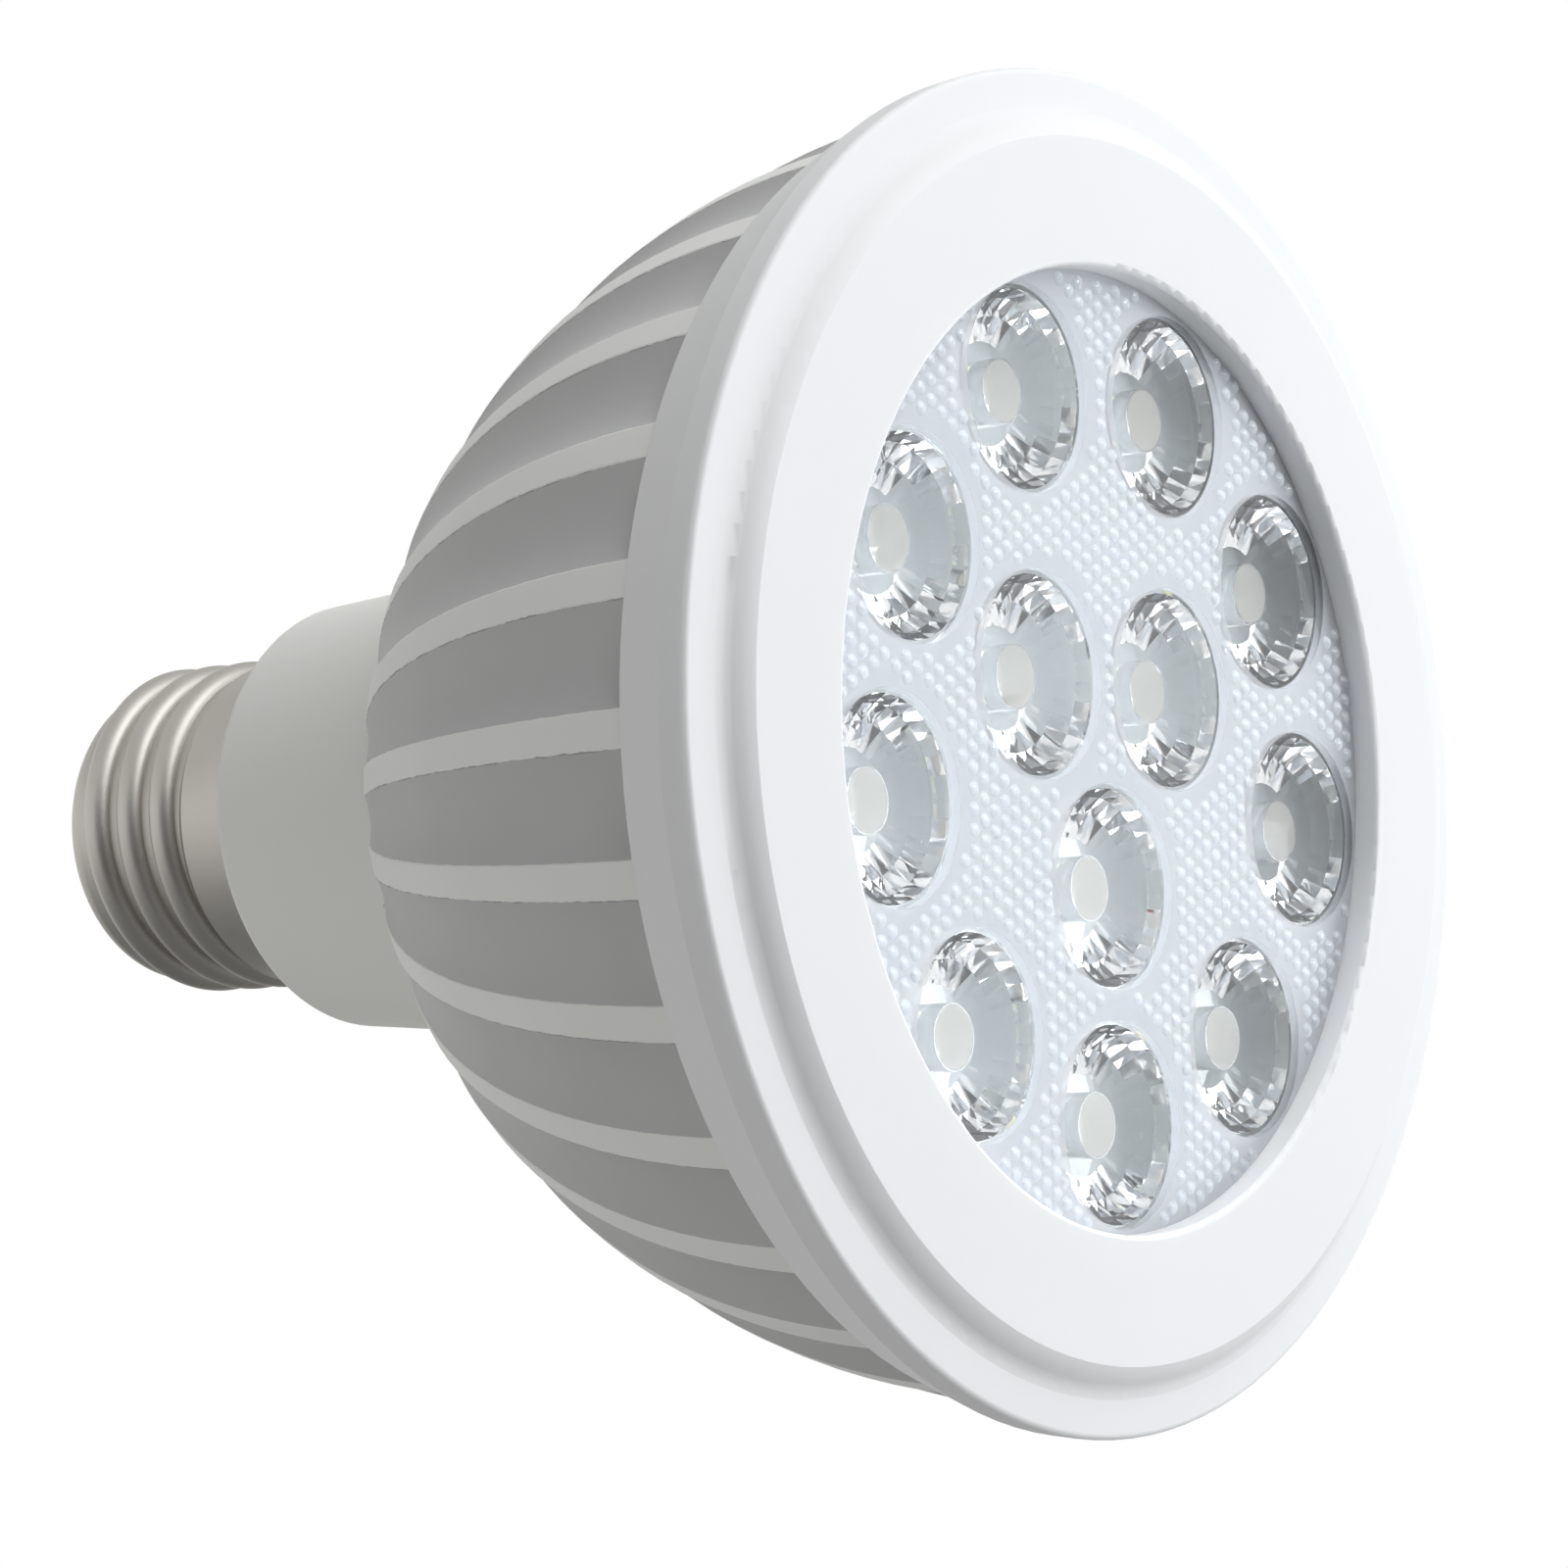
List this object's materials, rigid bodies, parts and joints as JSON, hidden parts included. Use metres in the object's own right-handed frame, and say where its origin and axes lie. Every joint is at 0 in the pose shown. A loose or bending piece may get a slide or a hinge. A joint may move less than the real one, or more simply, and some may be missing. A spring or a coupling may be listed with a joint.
{
  "type": "led reflector bulb",
  "caption": "Reflector-shaped LED lamp with a white front bezel, a ring of faceted collimators behind a bumped clear lens, a fluted cast heat sink and an Edison screw base.",
  "frame": {"origin": "centre of the front plane, on which the lamp stands face down", "axes": "+Z along the lamp's axis from the front face towards the screw base; +X and +Y across the face, with the outer collimator that the picture shows lowest on +Y"},
  "size_m": [0.0946, 0.0946, 0.0987],
  "materials": {
    "bezel_white": "smooth gloss moulding",
    "lens_clear": "clear acrylic with a finely bumped front",
    "board_white": "white solder mask on aluminium",
    "led_cream": "phosphor under a clear dome",
    "pad_grey": "soft gap pad",
    "screw_steel": "zinc plated",
    "casting_grey": "satin paint on die-cast aluminium",
    "housing_white": "fine satin moulding",
    "board_green": "green solder mask",
    "ferrite_black": "dull ferrite",
    "tape_yellow": "polyester tape",
    "capacitor_sleeve": "printed-free shrink sleeve",
    "film_red": "dipped epoxy",
    "epoxy_black": "moulded epoxy",
    "wire_red": "silicone sleeve",
    "wire_black": "silicone sleeve",
    "wire_white": "silicone sleeve",
    "shell_nickel": "nickel plated sheet",
    "insulator_black": "opaque black glass",
    "contact_brass": "tinned brass cap"
  },
  "bodies": {
    "root": {"bezel_ring": "bezel_white", "collimator_lens": "lens_clear", "led_board": "board_white", "led_01": "led_cream", "led_02": "led_cream", "led_03": "led_cream", "led_04": "led_cream", "led_05": "led_cream", "led_06": "led_cream", "led_07": "led_cream", "led_08": "led_cream", "led_09": "led_cream", "led_10": "led_cream", "led_11": "led_cream", "led_12": "led_cream", "thermal_pad": "pad_grey", "board_screws": "screw_steel", "heat_sink": "casting_grey", "driver_housing": "housing_white", "housing_screws": "screw_steel", "driver_board": "board_green", "transformer_core": "ferrite_black", "transformer_winding": "tape_yellow", "input_capacitor": "capacitor_sleeve", "output_capacitor": "capacitor_sleeve", "choke": "ferrite_black", "film_capacitor": "film_red", "bridge_rectifier": "epoxy_black", "controller_chip": "epoxy_black", "switching_transistor": "epoxy_black", "led_wire_positive": "wire_red", "led_wire_negative": "wire_black", "live_wire": "wire_black", "neutral_wire": "wire_white", "screw_shell": "shell_nickel", "base_insulator": "insulator_black", "centre_contact": "contact_brass"}
  },
  "joints": []
}
